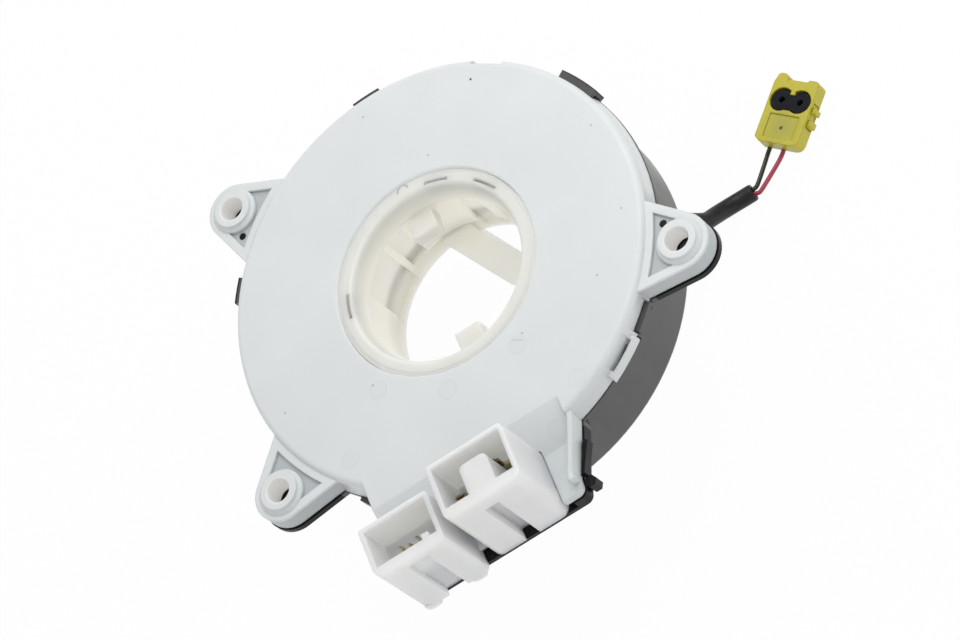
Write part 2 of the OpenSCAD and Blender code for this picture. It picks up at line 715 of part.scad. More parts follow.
module rear_slip_sheet() color([0.9, 0.9, 0.88]) translate([0, 0, z_under - 0.3])
    difference() {
        cylinder(r = case_in_r - 0.8, h = 0.3);
        translate([0, 0, -over]) cylinder(r = collar_r + 0.6, h = 3);
        translate([0, 0, -over]) linear_extrude(3) sector(case_in_r - 8, case_in_r, -140, -66);
    }

module front_slip_sheet() color([0.9, 0.9, 0.88]) translate([0, 0, z_disc_top])
    difference() {
        cylinder(r = disc_r - 0.5, h = 0.35);
        translate([0, 0, -over]) cylinder(r = spool_out_r + 0.6, h = 3);
    }

module inner_cable_clamp() color([0.82, 0.8, 0.72]) difference() {
    rotate(front_socket_a) box(spool_out_r - 1, collar_r - 0.1, -6, 6, z_disc_top + 0.4, z_spool - 4);
    cylinder(r = spool_out_r + 0.08, h = 100, center = true);
}

// Cream sleeve in the bore: ring, collar, lip, wall with windows, and two drive keys
SLOTS = [[61, 76], [26.8, 43.4], [160.2, 176.3]];
WINDOWS = [[38, 50], [56, 70], [107, 119], [123, 152], [-142, -130], [-124, -110], [-73, -61],
    [-57, -28]];
z_lip_in = z_face - 5.7;
z_key = z_face - 5.5;
window_depth = 1.2;

module sleeve_body() {
    rotate_extrude() polygon([[sleeve_in_r - 0.6, z_ring - 0.8], [sleeve_in_r - 0.3, z_ring - 0.2],
        [sleeve_in_r + 0.3, z_ring], [ring_r - 0.9, z_ring], [ring_r - 0.8, z_ring - 0.2],
        [ring_r - 0.2, z_ring - 0.2], [ring_r, z_ring - 0.5], [ring_r, z_collar],
        [collar_r, z_collar], [collar_r, z_spool], [sleeve_out_r, z_spool],
        [sleeve_out_r, z_disc_top], [sleeve_in_r, z_disc_top], [sleeve_in_r, z_lip_in - 1.4],
        [lip_in_r, z_lip_in - 0.7], [lip_in_r, z_lip_in]]);
}

module rear_sleeve() color([0.9, 0.89, 0.84]) difference() {
    union() {
        sleeve_body();
        for (s = [0, 180]) rotate(s) translate([-key_w / 2, 0, 0]) rotate([90, 0, 90])
            linear_extrude(key_w) polygon([[key_reach, z_key - key_h], [key_reach, z_key],
                [sleeve_in_r + 0.5, z_key], [sleeve_in_r + 0.5, z_key - key_h - 1.6],
                [key_reach + 4, z_key - key_h - 0.6]]);
    }
    for (a = SLOTS) ring_block(sleeve_in_r + 0.4, sleeve_out_r - 0.2, a[0], a[1],
        z_ring - 4, over);
    for (w = WINDOWS) ring_block(sleeve_in_r - 2, sleeve_out_r + 2, w[0], w[1],
        z_disc_top - over, z_spool - 3.1);
}

// Cream front rotor: spool, disc, hub, tongue and drive post
module front_rotor() color([0.9, 0.89, 0.84]) difference() {
    union() {
        rotate_extrude() polygon([[spool_in_r, z_disc_top], [spool_in_r, z_spool],
            [spool_out_r, z_spool], [spool_out_r, z_disc_top], [disc_r, z_disc_top],
            [disc_r, z_disc], [hub_r, z_disc], [hub_r, z_hub + 0.8], [hub_r - 0.8, z_hub],
            [rotor_bore_r, z_hub], [rotor_bore_r, z_disc_top]]);
        tongue();
        rotate(post_a) translate([post_at, 0, z_rest]) {
            cylinder(r = post_r, h = z_disc - z_rest);
            translate([0, 0, z_hub - z_rest - 2]) cylinder(r = post_r + 1, h = 3);
        }
    }
    // Moulded pockets of the hub, between pads for the post, the socket and the lead
    for (p = [[-82, -60], [-54, -34], [-120, -88], [-205, -175], [20, 50], [56, 76], [104, 126],
            [132, 150]])
        ring_block(rotor_bore_r + 3.5, hub_r - 2.2, p[0], p[1], z_hub - over, z_disc_top - 1.9);
    // Recesses of the bore that carry the sleeve's windows on
    for (w = WINDOWS) if (w[0] > 120 || w[1] < 60 || w[0] == 56) ring_block(rotor_bore_r - over,
        rotor_bore_r + window_depth, w[0], w[1], z_hub + 1.5, z_disc_top + over);
}

module tongue() {
    free = z_disc - z_rest;
    shift = free * tan(tongue_lean);
    y0 = rotor_bore_r - 1.8;
    x0 = -2.4;
    translate([0, y0 + tongue_t, 0]) rotate([90, 0, 0]) linear_extrude(tongue_t)
        polygon(rounded([[x0, z_disc_top - 0.4], [x0, z_disc], [x0 + shift, z_rest],
            [x0 + tongue_w + shift, z_rest], [x0 + tongue_w, z_disc], [x0 + tongue_w,
            z_disc_top - 0.4]], [0, 0, 1, 1, 0, 0]));
    translate([0, y0 + tongue_t + 1.4, 0]) rotate([90, 0, 0]) linear_extrude(2.4)
        polygon([[x0 + tongue_w / 2 - 0.8, z_disc_top - 0.4], [x0 + tongue_w / 2 - 0.8 + shift,
            z_rest + 5], [x0 + tongue_w / 2 + 0.8 + shift, z_rest + 5],
            [x0 + tongue_w / 2 + 0.8, z_disc_top - 0.4]]);
}

// Socket for the switches in the wheel, open to the front
module front_socket() color([0.9, 0.89, 0.84]) rotate(front_socket_a)
    translate([front_socket_at, 0, 0]) {
        w = front_socket_w;
        l = front_socket_l;
        difference() {
            slab(z_rest, z_hub) polygon(rounded([[-w / 2, -l / 2], [w / 2, -l / 2],
                [w / 2, l / 2], [-w / 2, l / 2]], [1, 1, 1, 1], 3));
            box(-w / 2 + 1.3, w / 2 - 1.3, -l / 2 + 1.3, l / 2 - 1.3, z_rest - over, z_hub - 3);
            box(w / 2 - 2, w / 2 + 1, -2.5, 2.5, z_rest + 3, z_rest + 9);
            box(-w / 2 - 1, -w / 2 + 2, -1.2, 1.2, z_rest - over, z_rest + 7);
            for (i = [-2.5:2.5], x = [-front_pin_row, front_pin_row])
                translate([x, i * front_pin_pitch, z_hub])
                    cube([pin_w + 2 * pin_gap, pin_w + 2 * pin_gap, 20], center = true);
        }
    }

module front_socket_pins() color([0.78, 0.68, 0.42]) rotate(front_socket_a)
    translate([front_socket_at, 0, 0])
        for (i = [-2.5:2.5], x = [-front_pin_row, front_pin_row])
            translate([x, i * front_pin_pitch, 0]) box(-pin_w / 2, pin_w / 2, -pin_w / 2,
                pin_w / 2, z_rest + front_pin_free, z_hub);

// Clamp on the hub that holds the start of the lead
module lead_clamp() color([0.9, 0.89, 0.84]) {
    depth = clamp_top_z - lead_z + lead_d / 2 + 1.6;
    difference() {
        translate([lead_from - 8.5, 0, 0]) rotate([90, 0, 90]) linear_extrude(8.5)
            polygon(rounded([[lead_y - 4.2, clamp_top_z], [lead_y - 4.2, clamp_top_z - depth],
                [lead_y + 4.2, clamp_top_z - depth], [lead_y + 4.2, clamp_top_z]],
                [0, 2, 2, 0]));
        box(lead_from - 6.5, lead_from - 5, lead_y - 5, lead_y - 2.6, lead_z - 6, lead_z + 1);
        box(lead_from - 6.5, lead_from - 5, lead_y + 2.6, lead_y + 5, lead_z - 6, lead_z + 1);
    }
}

module lead_sleeve() color([0.07, 0.07, 0.07]) tube(LEAD, lead_d, 12);
module lead_wire_black() color([0.1, 0.1, 0.08]) tube(WIRE_BLACK, wire_d);
module lead_wire_red() color([0.8, 0.2, 0.2]) tube(WIRE_RED, wire_d);

// Yellow plug on its back, with its contact face up
module at_plug() {
    translate([plug_mid.x, plug_mid.y, z_rest]) rotate(plug_a) children();
}

// Plan of the insert: two round ends, a waist and a key notch
module insert_plan(grow) translate([insert_at, 0]) difference() {
    union() {
        for (y = [-insert_half, insert_half]) translate([0, y]) circle(r = insert_r + grow);
        square([insert_waist + 2 * grow, 2 * insert_half], center = true);
    }
    translate([insert_waist / 2, 0]) square([1.6, 1.8 - 2 * grow], center = true);
}

// Plan of the plug: a cut corner at the wires, a round knob and a step at the far end
module plug_plan(inset) {
    x = plug_l / 2 - inset;
    y = plug_w / 2 - inset;
    polygon(rounded([[-x, -y], [x, -y], [x, -y + 2.6], [x - 0.6, -y + 3.2], [x - 0.6, y - 4.2],
        [x - 1, y - 3.4], [x + 0.8, y - 3], [x + 0.8, y - 0.7], [x - 1.6, y], [-x + 1, y],
        [-x, y - 1.4]], [1.8, 1, 0, 0, 0, 0, 0.9, 0.9, 0, 0.6, 0], 3));
}

module plug_housing() color([0.88, 0.8, 0.1]) at_plug() difference() {
    union() {
        slab(0, 0.9) plug_plan(0.6);
        slab(0.9, plug_h) plug_plan(0);
    }
    slab(plug_h - 3.5, plug_h + over) insert_plan(clear);
    // Shallow panel with its gate mark, and the seat of the lock
    slab(plug_h - 0.3, plug_h + over) translate([-plug_l / 2 + 4.4, 0])
        square([6, plug_w - 4], center = true);
    translate([-plug_l / 2 + 4.1, 0, plug_h - 0.9]) cylinder(r = 0.4, h = 3, $fn = 24);
    box(-3, 0.5, -plug_w / 2 - over, -plug_w / 2 + 1.4, 1.1, plug_h - 0.9);
    box(0, 3.4, -plug_w / 2 - over, -plug_w / 2 + 0.7, 1.1, plug_h - 0.9);
}

module plug_insert() color([0.06, 0.06, 0.06]) at_plug() difference() {
    slab(plug_h - 3.5, plug_h - 0.4) insert_plan(0);
    for (y = [-insert_half, insert_half]) translate([insert_at, y, plug_h - 3])
        cylinder(r = 0.8, h = 6);
}

module plug_terminals() color([0.78, 0.68, 0.42]) at_plug()
    for (y = [-insert_half, insert_half]) translate([insert_at, y, plug_h - 3])
        cylinder(r = 0.5, h = 1);

// Lock in the side of the plug, with two latch teeth
module plug_lock() color([0.85, 0.77, 0.1]) at_plug() {
    side = -plug_w / 2;
    slab(1.3, plug_h - 1.1) polygon([[-2.8, side + 1.2], [-2.8, side + 0.1], [-2.4, side - 1],
        [-1, side - 1], [-1, side + 0.1], [0.7, side + 0.1], [0.9, side - 1], [2.1, side - 1],
        [2.5, side + 0.1], [3.2, side + 0.1], [3.2, side + 0.5], [0.3, side + 0.5],
        [0.3, side + 1.2]]);
}

rear_cover();
front_case();
connector_block();
socket_a_pins();
socket_b_terminals();
connector_busbars();
outer_cable_clamp();
flat_cable();
rear_slip_sheet();
rear_sleeve();
front_rotor();
front_slip_sheet();
inner_cable_clamp();
front_socket();
front_socket_pins();
lead_clamp();
lead_sleeve();
lead_wire_black();
lead_wire_red();
plug_housing();
plug_insert();
plug_lock();
plug_terminals();
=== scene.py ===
from math import cos, pi, radians, sin

import bmesh
import bpy
from mathutils import Matrix, Vector


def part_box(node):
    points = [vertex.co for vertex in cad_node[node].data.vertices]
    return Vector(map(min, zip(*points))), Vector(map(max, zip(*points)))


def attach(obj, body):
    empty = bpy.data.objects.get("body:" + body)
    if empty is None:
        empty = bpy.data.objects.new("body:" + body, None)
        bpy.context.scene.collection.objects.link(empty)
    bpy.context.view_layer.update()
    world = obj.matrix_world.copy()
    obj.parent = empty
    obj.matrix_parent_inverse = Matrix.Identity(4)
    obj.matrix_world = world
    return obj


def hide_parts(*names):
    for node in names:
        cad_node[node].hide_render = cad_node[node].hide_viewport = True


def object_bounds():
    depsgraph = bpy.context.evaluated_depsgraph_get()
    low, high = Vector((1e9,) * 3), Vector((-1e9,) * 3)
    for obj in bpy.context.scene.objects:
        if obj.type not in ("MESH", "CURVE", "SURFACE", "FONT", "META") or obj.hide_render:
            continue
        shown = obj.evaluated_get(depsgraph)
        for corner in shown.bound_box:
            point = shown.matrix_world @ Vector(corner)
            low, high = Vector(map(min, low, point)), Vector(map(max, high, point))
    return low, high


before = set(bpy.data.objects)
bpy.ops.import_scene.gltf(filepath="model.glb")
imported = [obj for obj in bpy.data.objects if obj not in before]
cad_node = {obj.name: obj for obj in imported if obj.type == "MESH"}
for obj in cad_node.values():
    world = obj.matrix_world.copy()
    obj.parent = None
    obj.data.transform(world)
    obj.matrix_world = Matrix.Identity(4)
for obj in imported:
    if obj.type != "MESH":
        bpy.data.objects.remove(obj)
cad_low, cad_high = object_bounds()
scene = bpy.context.scene
scene.view_settings.view_transform = "Standard"


# Camera
# The photograph looks down on the column side with a long lens, from the side of
# the two sockets, and the part's axis leans to the right in the picture.
MM = 0.001
lens_mm, sensor_mm = 150, 36
tilt_from_axis = radians(36.6)
lean_in_picture = radians(37.7)
near_side = radians(-65.75)
middle_in_picture = Vector((-10.2 * MM, -11.2 * MM))
viewing_distance = 920 * MM
aimed_at = Vector((0, 0, -1 * MM))

axis = Vector((0, 0, 1))
towards_viewer = Vector((cos(near_side), sin(near_side), 0))
across = Vector((sin(near_side), -cos(near_side), 0))
leaning = cos(tilt_from_axis) * towards_viewer - sin(tilt_from_axis) * axis
view_back = sin(tilt_from_axis) * towards_viewer + cos(tilt_from_axis) * axis
view_right = cos(lean_in_picture) * leaning - sin(lean_in_picture) * across
view_down = sin(lean_in_picture) * leaning + cos(lean_in_picture) * across
eye = (aimed_at - middle_in_picture.x * view_right - middle_in_picture.y * view_down
       + viewing_distance * view_back)

camera = bpy.data.objects.new("camera", bpy.data.cameras.new("camera"))
camera.data.lens = lens_mm
camera.data.sensor_width = sensor_mm
camera.data.clip_start = 0.01
camera.matrix_world = Matrix.Translation(eye) @ Matrix(
    (view_right, -view_down, view_back)).transposed().to_4x4()
scene.collection.objects.link(camera)
scene.camera = camera


# Lead
# A black PVC sleeve that leaves the clamp on the rotor, bends down to the bench and
# lies on it. It is a little thinner where the clamp holds it. It is cut square, with a
# worn rim, and the two wires come out of its open end.
lead_d = 4.3 * MM
lead_bore = 3.1 * MM
lead_rim = 0.15 * MM
held_share = 0.96
open_steps = 5
lead_route = [
    (38.5, 2.4, -33.5), (40, 2.4, -33.5), (42.4, 2.4, -34.2), (44.8, 2.3, -36.1),
    (47, 2.1, -38.9), (49, 1.9, -42), (50.7, 2, -44.8), (52.2, 2.4, -47.1), (53.8, 3.6, -49),
    (55.5, 4.6, -50.5), (57.3, 5.3, -51.6), (59.2, 5.8, -52.4), (61.2, 6, -52.8),
    (64.4, 6, -52.85)]


def smooth_route(route, steps):
    """A smooth line through the points of a route, in metres."""
    at = [Vector(p) * MM for p in route]
    at = [2 * at[0] - at[1]] + at + [2 * at[-1] - at[-2]]
    line = []
    for a, b, c, d in zip(at, at[1:], at[2:], at[3:]):
        for k in range(steps):
            t = k / steps
            line.append(0.5 * (2 * b + (c - a) * t + (2 * a - 5 * b + 4 * c - d) * t * t
                               + (3 * b - a - 3 * c + d) * t ** 3))
    return line + [at[-2]]


def swept_tube(name, line, profile, sides):
    """A closed tube along a line. profile lists (place along the line, radius)."""
    mesh = bmesh.new()
    rings = []
    side = None
    for i, radius in profile:
        along = (line[min(i + 1, len(line) - 1)] - line[max(i - 1, 0)]).normalized()
        side = (axis.cross(along) if side is None else side - side.dot(along) * along).normalized()
        up = along.cross(side)
        rings.append([mesh.verts.new(line[i] + radius * (cos(2 * pi * k / sides) * side
                                                         + sin(2 * pi * k / sides) * up))
                      for k in range(sides)])
    for low, high in zip(rings, rings[1:]):
        for k in range(sides):
            mesh.faces.new((low[k], low[(k + 1) % sides], high[(k + 1) % sides], high[k]))
    mesh.faces.new(rings[0][::-1])
    mesh.faces.new(rings[-1])
    bmesh.ops.recalc_face_normals(mesh, faces=mesh.faces)
    return made_piece(name, mesh)


def made_piece(name, mesh, smooth=True):
    """A piece made of a bmesh, with its place in its mesh."""
    data = bpy.data.meshes.new(name)
    mesh.to_mesh(data)
    mesh.free()
    if smooth:
        data.shade_smooth()
    piece = bpy.data.objects.new(name, data)
    scene.collection.objects.link(piece)
    return piece


def plastic(name, colour, roughness, **sockets):
    """A material and its Principled shader, with a plain colour under later nodes."""
    material = bpy.data.materials.new(name)
    material.use_nodes = True
    shader = material.node_tree.nodes["Principled BSDF"]
    shader.inputs["Base Color"].default_value = (*colour, 1)
    shader.inputs["Roughness"].default_value = roughness
    for socket, value in sockets.items():
        shader.inputs[socket.replace("_", " ")].default_value = value
    return material, shader


def add(shader, kind, inputs=None, **settings):
    """A node beside the shader, with its settings, and its inputs set or linked."""
    tree = shader.id_data
    node = tree.nodes.new(kind)
    for key, value in settings.items():
        setattr(node, key, value)
    for socket, value in (inputs or {}).items():
        if isinstance(value, bpy.types.NodeSocket):
            tree.links.new(value, node.inputs[socket])
        else:
            node.inputs[socket].default_value = value
    return node


def maths(shader, operation, *values):
    """One step of arithmetic on given or linked values."""
    return add(shader, "ShaderNodeMath", dict(enumerate(values)), operation=operation).outputs[0]


def link(shader, output, socket):
    """Feed one of the shader's own inputs."""
    shader.id_data.links.new(output, shader.inputs[socket])


def place(shader):
    """The place on the piece, in metres in the shared frame."""
    return add(shader, "ShaderNodeTexCoord").outputs["Object"]


def grain(shader, scale, detail=3.0, stretch=(1, 1, 1)):
    """Noise on the piece's own place, as a value from 0 to 1."""
    turned = add(shader, "ShaderNodeMapping", {"Vector": place(shader), "Scale": stretch})
    return add(shader, "ShaderNodeTexNoise", {"Vector": turned.outputs[0], "Scale": scale,
               "Detail": detail, "Roughness": 0.6}).outputs["Fac"]


def between(shader, value, low, high, at=(0.35, 0.65)):
    """low to high as the value goes from one to the other of two places."""
    return add(shader, "ShaderNodeMapRange", {"Value": value, "From Min": at[0], "From Max": at[1],
               "To Min": low, "To Max": high}).outputs["Result"]


def mixed(shader, factor, first, second):
    """A colour between two colours, each of them given or linked."""
    node = add(shader, "ShaderNodeMix", data_type="RGBA")
    for index, value in ((0, factor), (6, first), (7, second)):
        if isinstance(value, bpy.types.NodeSocket):
            shader.id_data.links.new(value, node.inputs[index])
        else:
            node.inputs[index].default_value = value if index == 0 else (*value, 1)
    return node.outputs[2]


def skin(shader, height, depth, edge=0.0):
    """Bump on the shader's normal, over edges that a Bevel node rounds."""
    inputs = {"Height": height, "Distance": depth, "Strength": 1.0}
    if edge:
        inputs["Normal"] = add(shader, "ShaderNodeBevel", {"Radius": edge}, samples=6).outputs[0]
    link(shader, add(shader, "ShaderNodeBump", inputs).outputs["Normal"], "Normal")


def dress(material, *nodes):
    """Give CAD nodes a material."""
    for name in nodes:
        cad_node[name].data.materials.clear()
        cad_node[name].data.materials.append(material)


lead_line = smooth_route(lead_route, 6)
last = len(lead_line) - 1
lead = swept_tube("lead", lead_line, [(0, lead_d / 2 * held_share)] + [
    (i, lead_d / 2) for i in range(1, last)] + [
    (last, lead_d / 2 - lead_rim), (last, lead_bore / 2), (last - open_steps, lead_bore / 2)], 40)
lead_black, shader = plastic("lead_black", (0.014, 0.014, 0.016), 0.5)
shader.inputs["Specular IOR Level"].default_value = 0.3
scuff = grain(shader, 260, 4)
link(shader, mixed(shader, between(shader, scuff, 0, 1, (0.45, 0.7)), (0.008, 0.008, 0.009),
                   (0.020, 0.020, 0.022)), "Base Color")
link(shader, between(shader, scuff, 0.34, 0.46), "Roughness")
skin(shader, grain(shader, 1400, 2), 0.03 * MM)
lead.data.materials.append(lead_black)
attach(lead, "rotor")
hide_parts("lead_sleeve")


# Wires
# Two thin stranded wires with a smooth PVC skin, one black and one red. They come
# out of the sleeve side by side and go into the near end of the plug.
wire_d = 1.1 * MM
wire_routes = {
    "black": [(62.4, 6.7, -52.85), (64.55, 6.7, -52.85), (65.7, 7, -52.85), (67.4, 8.7, -52.9),
              (69.1, 10.7, -53.1), (70.5, 12.6, -53.5), (71.5, 13.95, -53.8), (72.35, 14.8, -53.8)],
    "red": [(62.4, 5.3, -52.85), (64.55, 5.3, -52.85), (65.8, 5.1, -52.85), (68.2, 6.5, -52.9),
            (70.65, 8.2, -53.1), (72.9, 10, -53.5), (74.19, 11.26, -53.8), (75.04, 12.11, -53.8)]}
wire_colours = {"black": (0.022, 0.020, 0.010), "red": (0.42, 0.035, 0.075)}
for name, route in wire_routes.items():
    line = smooth_route(route, 6)
    wire = swept_tube("wire_" + name, line, [(i, wire_d / 2) for i in range(len(line))], 20)
    wire_skin, shader = plastic("wire_" + name, wire_colours[name], 0.3)
    tone = grain(shader, 500, 2)
    darker = tuple(0.7 * c for c in wire_colours[name])
    link(shader, mixed(shader, tone, darker, wire_colours[name]), "Base Color")
    link(shader, between(shader, tone, 0.24, 0.4), "Roughness")
    # The strands under the skin show as a fine twist
    skin(shader, add(shader, "ShaderNodeTexWave", {"Vector": place(shader), "Scale": 420.0},
                     bands_direction="DIAGONAL").outputs["Fac"], 0.02 * MM)
    wire.data.materials.append(wire_skin)
    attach(wire, "rotor")
    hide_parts("lead_wire_" + name)


# Front case
# A black thermoplastic moulding with a satin wall. It carries the ears, the pins that
# hold the cover, the clips and the tray, and its wall shows faint flow marks and dust.
proud_shade_from = (55.2 * MM, 55.6 * MM)


def nearest(shader, points):
    """Distance in plan to the nearest of some points."""
    flat = add(shader, "ShaderNodeVectorMath", {0: place(shader), 1: (1, 1, 0)},
               operation="MULTIPLY").outputs[0]
    least = None
    for x, y in points:
        gap = add(shader, "ShaderNodeVectorMath", {0: flat, 1: (x * MM, y * MM, 0)},
                  operation="DISTANCE").outputs["Value"]
        least = gap if least is None else maths(shader, "MINIMUM", least, gap)
    return least


def from_axis(shader):
    """Distance from the part's axis."""
    return nearest(shader, [(0, 0)])


case_black, shader = plastic("case_black", (0.062, 0.062, 0.063), 0.26)
marks = grain(shader, 90, 5, (1, 1, 0.25))
dust = grain(shader, 900, 3)
tone = mixed(shader, between(shader, marks, 0, 1), (0.052, 0.052, 0.053), (0.078, 0.078, 0.079))
# What stands out from the wall, such as clips and ears, is painted a deeper black, painted
# shade for the dark shadow lines under the cover's rim and ears, and it is less glossy
proud_painted_shade = between(shader, from_axis(shader), 0, 1, proud_shade_from)
tone = mixed(shader, proud_painted_shade, tone, (0.007, 0.007, 0.008))
link(shader, between(shader, proud_painted_shade, 0.5, 0.16, (0, 1)), "Specular IOR Level")
link(shader, mixed(shader, between(shader, dust, 0, 0.5, (0.68, 0.78)), tone, (0.12, 0.12, 0.12)),
     "Base Color")
link(shader, between(shader, marks, 0.22, 0.4), "Roughness")
skin(shader, grain(shader, 60, 2), 0.12 * MM, 0.2 * MM)
dress(case_black, "front_case")


# Slip sheets
# Two thin smooth sheets of hazy film, punched to shape and laid in loose. They keep the
# cable off the cover and off the rotor's disc.
slip, shader = plastic("slip_film", (0.74, 0.74, 0.72), 0.22)
haze = grain(shader, 160, 3)
link(shader, mixed(shader, haze, (0.70, 0.70, 0.68), (0.78, 0.78, 0.76)), "Base Color")
link(shader, between(shader, haze, 0.16, 0.3), "Roughness")
dress(slip, "rear_slip_sheet", "front_slip_sheet")


# Flat cable
# A laminated film with flat copper strips side by side, wound in a loose spiral
# from the clamp on the rotor out to the clamp in the case, so that it can breathe.
def tree_of(name, sizes):
    """An empty geometry tree with named sizes as its inputs."""
    tree = bpy.data.node_groups.new(name, "GeometryNodeTree")
    tree.interface.new_socket("Geometry", in_out="INPUT", socket_type="NodeSocketGeometry")
    for label, kind in sizes:
        tree.interface.new_socket(label, in_out="INPUT", socket_type="NodeSocket" + kind)
    tree.interface.new_socket("Geometry", in_out="OUTPUT", socket_type="NodeSocketGeometry")
    return tree, tree.nodes.new("NodeGroupInput").outputs


def step(tree, kind, inputs=None, **settings):
    """A node of a geometry tree, with its settings, and its inputs set or linked."""
    node = tree.nodes.new(kind)
    for key, value in settings.items():
        setattr(node, key, value)
    for socket, value in (inputs or {}).items():
        if isinstance(value, bpy.types.NodeSocket):
            tree.links.new(value, node.inputs[socket])
        else:
            node.inputs[socket].default_value = value
    return node.outputs[0]


def grown(name, tree, result, material, sizes):
    """The plain mesh that a tree grows, as a piece that wears the material."""
    real = step(tree, "GeometryNodeRealizeInstances", {0: result})
    worn = step(tree, "GeometryNodeSetMaterial", {0: real, "Material": material})
    tree.links.new(worn, tree.nodes.new("NodeGroupOutput").inputs[0])
    seed = bpy.data.objects.new(name + "_seed", bpy.data.meshes.new(name + "_seed"))
    scene.collection.objects.link(seed)
    modifier = seed.modifiers.new("grow", "NODES")
    modifier.node_group = tree
    for item in tree.interface.items_tree:
        if item.in_out == "INPUT" and item.name in sizes:
            modifier[item.identifier] = sizes[item.name]
    graph = bpy.context.evaluated_depsgraph_get()
    data = bpy.data.meshes.new_from_object(seed.evaluated_get(graph), depsgraph=graph)
    bpy.data.objects.remove(seed)
    piece = bpy.data.objects.new(name, data)
    scene.collection.objects.link(piece)
    return piece


cable_low, cable_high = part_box("flat_cable")
cable_w = cable_high.z - cable_low.z
cable_mid = (cable_low.z + cable_high.z) / 2
film, shader = plastic("cable_film", (0.62, 0.60, 0.50), 0.25)
strips = add(shader, "ShaderNodeTexWave", {"Vector": place(shader), "Scale": 130.0,
             "Distortion": 0.0}, bands_direction="Z").outputs["Fac"]
link(shader, mixed(shader, between(shader, strips, 0, 1, (0.5, 0.6)), (0.66, 0.64, 0.54),
                   (0.45, 0.26, 0.12)), "Base Color")
link(shader, between(shader, grain(shader, 200, 3), 0.18, 0.34), "Roughness")
tree, size = tree_of("wound_cable", (("Turns", "Float"), ("Inner Radius", "Float"),
                                     ("Outer Radius", "Float"), ("Width", "Float"),
                                     ("Thickness", "Float"), ("Level", "Float"), ("Turn", "Float")))
spiral = step(tree, "GeometryNodeCurveSpiral", {"Resolution": 48, "Rotations": size["Turns"],
              "Start Radius": size["Inner Radius"], "End Radius": size["Outer Radius"],
              "Height": 0.0, "Reverse": True})
lifted = step(tree, "GeometryNodeTransform", {0: spiral,
              "Translation": step(tree, "ShaderNodeCombineXYZ", {2: size["Level"]}),
              "Rotation": step(tree, "ShaderNodeCombineXYZ", {2: size["Turn"]})})
upright = step(tree, "GeometryNodeSetCurveNormal", {0: lifted}, mode="Z_UP")
ribbon = step(tree, "GeometryNodeCurvePrimitiveQuadrilateral", {0: size["Thickness"],
              1: size["Width"]})
wound = step(tree, "GeometryNodeCurveToMesh", {0: upright, "Profile Curve": ribbon,
             "Fill Caps": True})
cable = grown("cable_spiral", tree, wound, film, {
    "Turns": 6.0, "Inner Radius": 28.9 * MM, "Outer Radius": 46.0 * MM, "Width": cable_w,
    "Thickness": 0.36 * MM, "Level": cable_mid, "Turn": radians(-112)})
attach(cable, "stator")
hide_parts("flat_cable")


# Busbars and column pins
# Stamped brass strips lead from the cable's clamp to the two sockets. The four small
# pins are drawn square wire with pointed tips, pressed through the sockets' floor.
def brass(name, bright, worn, polish):
    """Polished brass with worn, darker patches."""
    material, shader = plastic(name, bright, polish, Metallic=1.0)
    wear = grain(shader, 700, 4)
    link(shader, mixed(shader, between(shader, wear, 0, 1, (0.4, 0.62)), bright, worn),
         "Base Color")
    link(shader, between(shader, wear, polish, polish + 0.22), "Roughness")
    return material


def square_pin(tree, size):
    """A square pin of a given width and length that stands on its place, with a point."""
    half_diagonal, point_share = 0.7071, 0.45
    wide = step(tree, "ShaderNodeMath", {0: size["Width"], 1: half_diagonal},
                operation="MULTIPLY")
    thin = step(tree, "ShaderNodeMath", {0: wide, 1: point_share}, operation="MULTIPLY")
    shaft = step(tree, "ShaderNodeMath", {0: size["Length"], 1: size["Tip"]}, operation="SUBTRACT")
    body = step(tree, "GeometryNodeMeshCone", {"Vertices": 4, "Radius Top": wide,
                "Radius Bottom": wide, "Depth": shaft})
    point = step(tree, "GeometryNodeMeshCone", {"Vertices": 4, "Radius Top": thin,
                 "Radius Bottom": wide, "Depth": size["Tip"]})
    raised = step(tree, "GeometryNodeTransform", {0: point,
                  "Translation": step(tree, "ShaderNodeCombineXYZ", {2: shaft})})
    whole = tree.nodes.new("GeometryNodeJoinGeometry")
    for part in (body, raised):
        tree.links.new(part, whole.inputs[0])
    return step(tree, "GeometryNodeTransform", {0: whole.outputs[0],
                "Rotation": (0, 0, radians(45))})


pin_brass = brass("contact_brass", (0.78, 0.72, 0.50), (0.46, 0.38, 0.22), 0.22)
dress(pin_brass, "connector_busbars", "plug_terminals")
pins_low, pins_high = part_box("socket_a_pins")
pin_sizes = (("Count", "Int"), ("Pitch", "Float"), ("Stagger", "Float"), ("Width", "Float"),
             ("Length", "Float"), ("Tip", "Float"), ("Start", "Vector"))
tree, size = tree_of("staggered_pins", pin_sizes)
row = step(tree, "GeometryNodeMeshLine", {"Count": size["Count"], "Start Location": size["Start"],
           "Offset": step(tree, "ShaderNodeCombineXYZ", {0: size["Pitch"]})})
number = step(tree, "GeometryNodeInputIndex")
odd = step(tree, "ShaderNodeMath", {0: number, 1: 2.0}, operation="MODULO")
back = step(tree, "ShaderNodeMath", {0: odd, 1: size["Stagger"]}, operation="MULTIPLY")
zigzag = step(tree, "GeometryNodeSetPosition", {0: row,
              "Offset": step(tree, "ShaderNodeCombineXYZ", {1: back})})
standing = step(tree, "GeometryNodeInstanceOnPoints", {0: zigzag,
                "Instance": square_pin(tree, size)})
small_pins = grown("small_pins", tree, standing, pin_brass, {
    "Count": 4, "Pitch": 2.2 * MM, "Stagger": -0.6 * MM, "Width": 0.64 * MM,
    "Length": pins_high.z - pins_low.z, "Tip": 0.9 * MM,
    "Start": (-29.8 * MM, -63.6 * MM, pins_low.z)})
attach(small_pins, "stator")
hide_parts("socket_a_pins")


# Power terminals
# Two wide blades stamped from thicker strip. Their tin has gone dark brown on the
# faces, and the cut foot of the right one shows light brass.
foot_top = (4.4 * MM, 5.2 * MM)


def own_xyz(shader):
    """The place on the piece as three separate values."""
    return add(shader, "ShaderNodeSeparateXYZ", {0: place(shader)}).outputs


